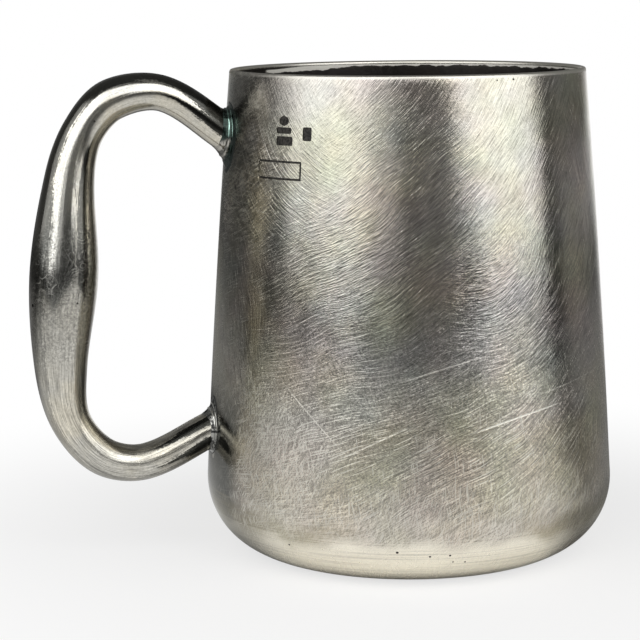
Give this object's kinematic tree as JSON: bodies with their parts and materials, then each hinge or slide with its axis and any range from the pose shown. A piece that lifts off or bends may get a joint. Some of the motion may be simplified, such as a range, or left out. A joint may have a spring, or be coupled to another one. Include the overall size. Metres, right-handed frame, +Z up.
{
  "type": "tankard",
  "caption": "Straight-tapering silver drinking tankard with a rounded foot and a hollow swelled loop handle, worn and scratched.",
  "frame": {"origin": "centre of the foot's underside, on the surface that the tankard stands on", "axes": "+Z up along the body's axis, -X towards the handle, which lies in the plane Y = 0"},
  "size_m": [0.1298, 0.0908, 0.1075],
  "materials": {
    "drum_silver": "worn silver with dense fine scratches and light tarnish",
    "base_silver": "dull tarnished silver with turning marks",
    "handle_silver": "silver polished by use, with lengthwise rubbing",
    "solder": "dull solder with traces of verdigris"
  },
  "bodies": {
    "root": {"body_wall": "drum_silver", "base_plate": "base_silver", "base_seam": "solder", "handle_near_half": "handle_silver", "handle_far_half": "handle_silver", "upper_handle_solder": "solder", "lower_handle_solder": "solder"}
  },
  "joints": []
}
